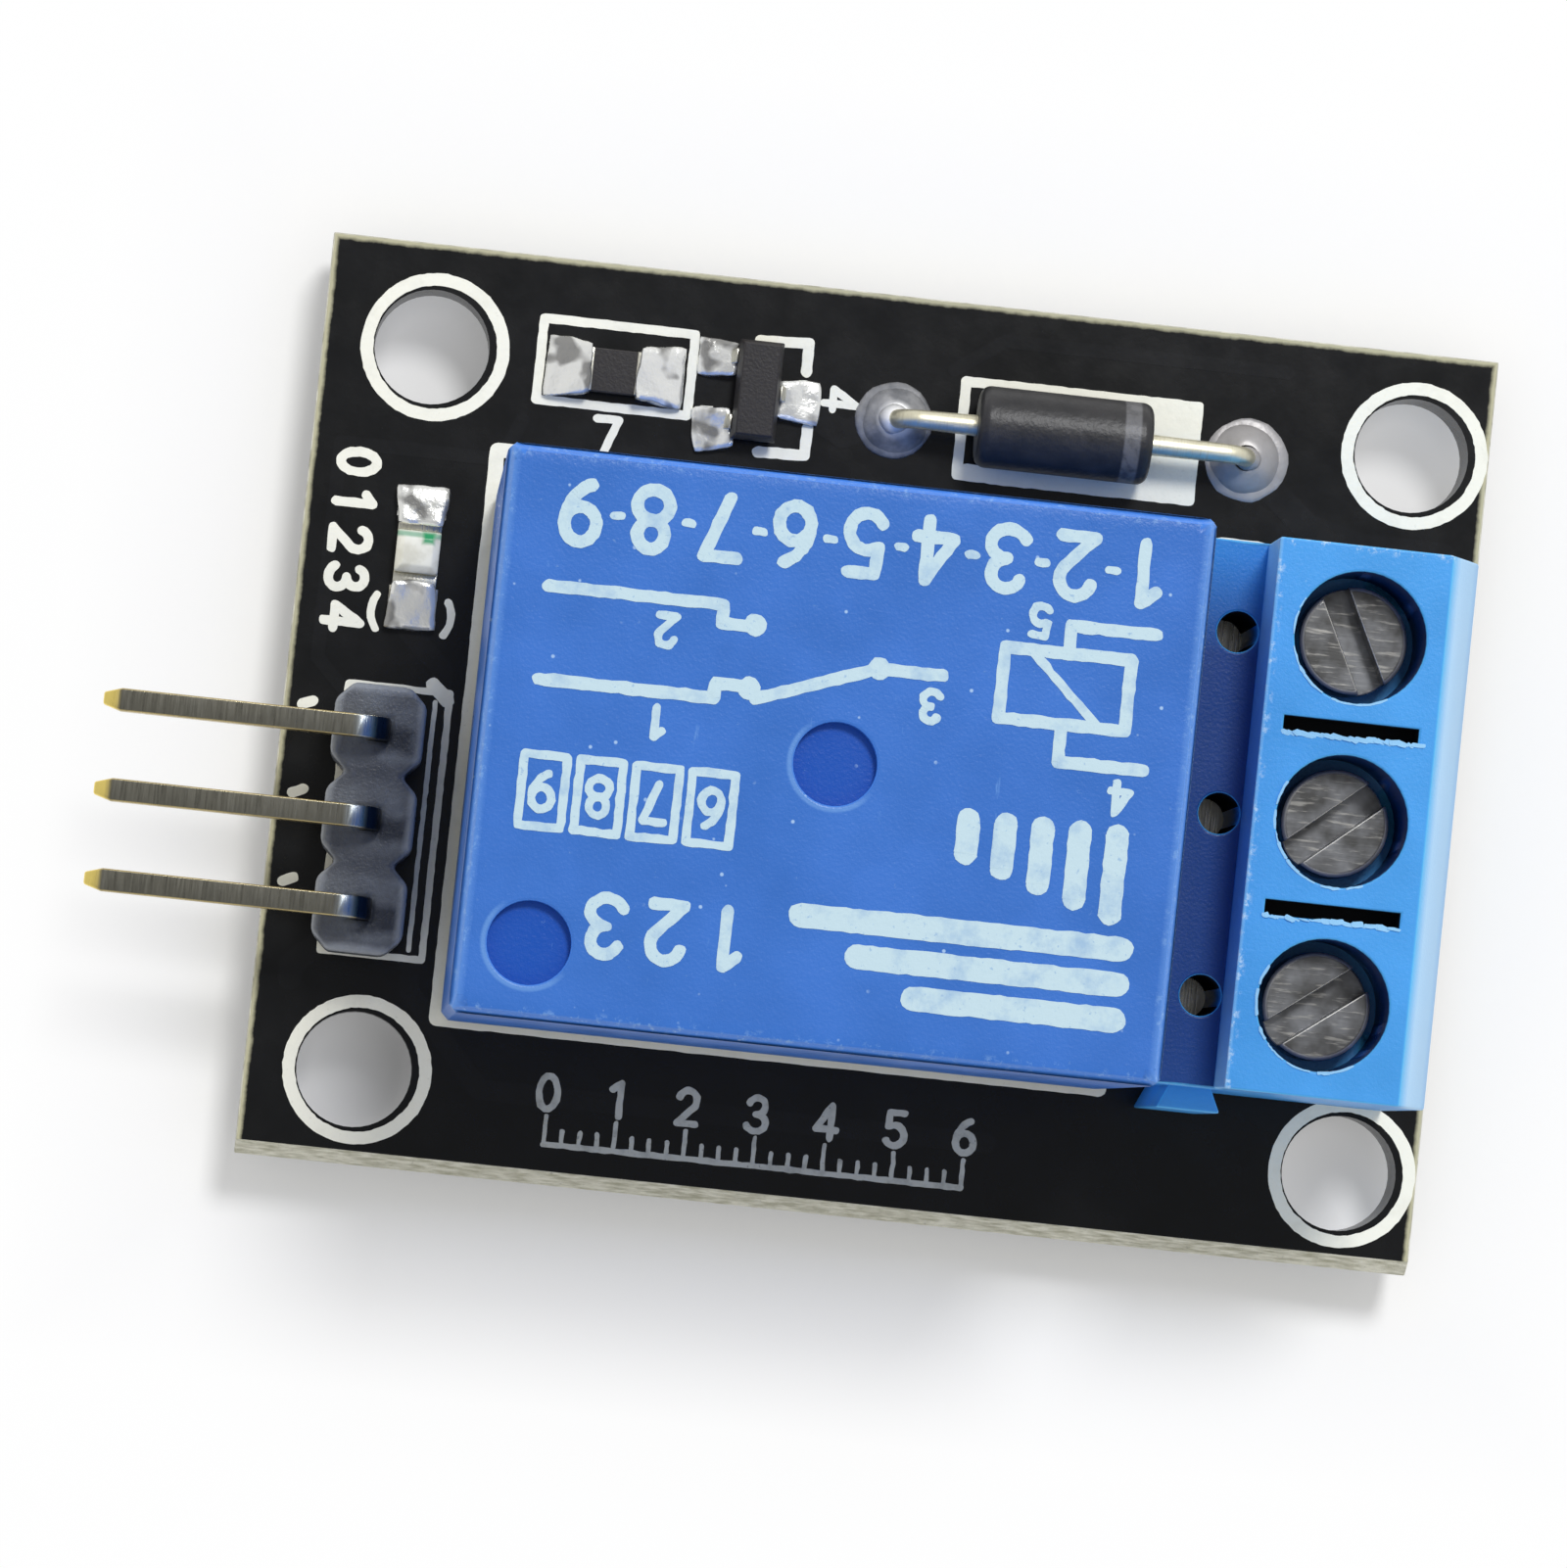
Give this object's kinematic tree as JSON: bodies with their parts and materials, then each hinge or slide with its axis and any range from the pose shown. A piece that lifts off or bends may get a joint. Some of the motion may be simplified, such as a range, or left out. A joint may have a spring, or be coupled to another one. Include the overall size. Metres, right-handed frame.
{
  "type": "relay module board",
  "caption": "Single relay module: black board with a sealed blue relay, three-pole screw terminal with rising wire clamps, bent pin header, diode, transistor and lamp.",
  "frame": {"origin": "centre of the four mounting holes on the board's underside", "axes": "+Z out of the component side, +X towards the screw terminal's wire entries"},
  "size_m": [0.0388, 0.0265, 0.0182],
  "materials": {
    "solder_mask": "black solder mask over glass-fibre laminate, satin",
    "relay_blue": "blue moulded case, satin",
    "relay_base_blue": "blue moulded base, satin",
    "bobbin_nylon": "natural nylon",
    "copper_wire": "enamelled copper wire",
    "soft_iron": "nickel-plated soft iron",
    "contact_alloy": "phosphor bronze strip",
    "contact_silver": "silver alloy",
    "tinned_lead": "tinned metal",
    "terminal_azure": "azure moulded housing, satin",
    "zinc_screw": "zinc-plated steel, dull",
    "nickel_clamp": "nickel-plated steel",
    "header_black": "black glass-filled plastic",
    "gilt_pin": "gold-flashed brass, bright",
    "chip_black": "black moulding compound",
    "lamp_cream": "cream laminate",
    "lamp_clear": "clear epoxy lens",
    "lamp_gilt": "gold-flashed ends",
    "solder": "bright tin solder"
  },
  "bodies": {
    "board": {"circuit_board": "solder_mask", "relay_cover": "relay_blue", "relay_base": "relay_base_blue", "coil_bobbin": "bobbin_nylon", "coil_winding": "copper_wire", "iron_core": "soft_iron", "yoke": "soft_iron", "coil_pins": "tinned_lead", "open_contact": "contact_alloy", "closed_contact": "contact_alloy", "terminal_housing": "terminal_azure", "terminal_pin_1": "tinned_lead", "terminal_pin_2": "tinned_lead", "terminal_pin_3": "tinned_lead", "header_insulator": "header_black", "header_pin_1": "gilt_pin", "header_pin_2": "gilt_pin", "header_pin_3": "gilt_pin", "resistor_body": "chip_black", "resistor_ends": "tinned_lead", "lamp_base": "lamp_cream", "lamp_lens": "lamp_clear", "lamp_ends": "lamp_gilt", "transistor_body": "chip_black", "transistor_leads": "tinned_lead", "diode_body": "chip_black", "diode_wires": "tinned_lead", "chip_solder": "solder", "diode_solder": "solder", "relay_solder": "solder", "terminal_solder": "solder", "header_solder": "solder"},
    "armature": {"armature": "soft_iron", "contact_blade": "contact_alloy", "moving_contact": "contact_silver"},
    "screw_1": {"terminal_screw_1": "zinc_screw"},
    "clamp_1": {"wire_clamp_1": "nickel_clamp"},
    "screw_2": {"terminal_screw_2": "zinc_screw"},
    "clamp_2": {"wire_clamp_2": "nickel_clamp"},
    "screw_3": {"terminal_screw_3": "zinc_screw"},
    "clamp_3": {"wire_clamp_3": "nickel_clamp"}
  },
  "joints": [
    {"name": "armature_pull", "type": "hinge", "parent": "board", "child": "armature", "pos_m": [-0.01002, -0.00109, 0.01263], "axis": [0, 1, 0], "range_deg": [0, 2.5], "stiffness_Nm_per_rad": 0.004, "springref_deg": -2.86},
    {"name": "screw_turn_1", "type": "hinge", "parent": "board", "child": "screw_1", "pos_m": [0.01197, 0.00421, 0.0102], "axis": [0, 0, 1], "range_deg": [-1440, 0]},
    {"name": "clamp_lift_1", "type": "slide", "parent": "board", "child": "clamp_1", "axis": [0, 0, 1], "range_m": [0, 0.0018]},
    {"name": "screw_turn_2", "type": "hinge", "parent": "board", "child": "screw_2", "pos_m": [0.01197, -0.00087, 0.0102], "axis": [0, 0, 1], "range_deg": [-1440, 0]},
    {"name": "clamp_lift_2", "type": "slide", "parent": "board", "child": "clamp_2", "axis": [0, 0, 1], "range_m": [0, 0.0018]},
    {"name": "screw_turn_3", "type": "hinge", "parent": "board", "child": "screw_3", "pos_m": [0.01197, -0.00595, 0.0102], "axis": [0, 0, 1], "range_deg": [-1440, 0]},
    {"name": "clamp_lift_3", "type": "slide", "parent": "board", "child": "clamp_3", "axis": [0, 0, 1], "range_m": [0, 0.0018]}
  ],
  "couplings": [
    {"joint": "screw_turn_1", "follows": "clamp_lift_1", "rad_per_m": -13963},
    {"joint": "screw_turn_2", "follows": "clamp_lift_2", "rad_per_m": -13963},
    {"joint": "screw_turn_3", "follows": "clamp_lift_3", "rad_per_m": -13963}
  ]
}
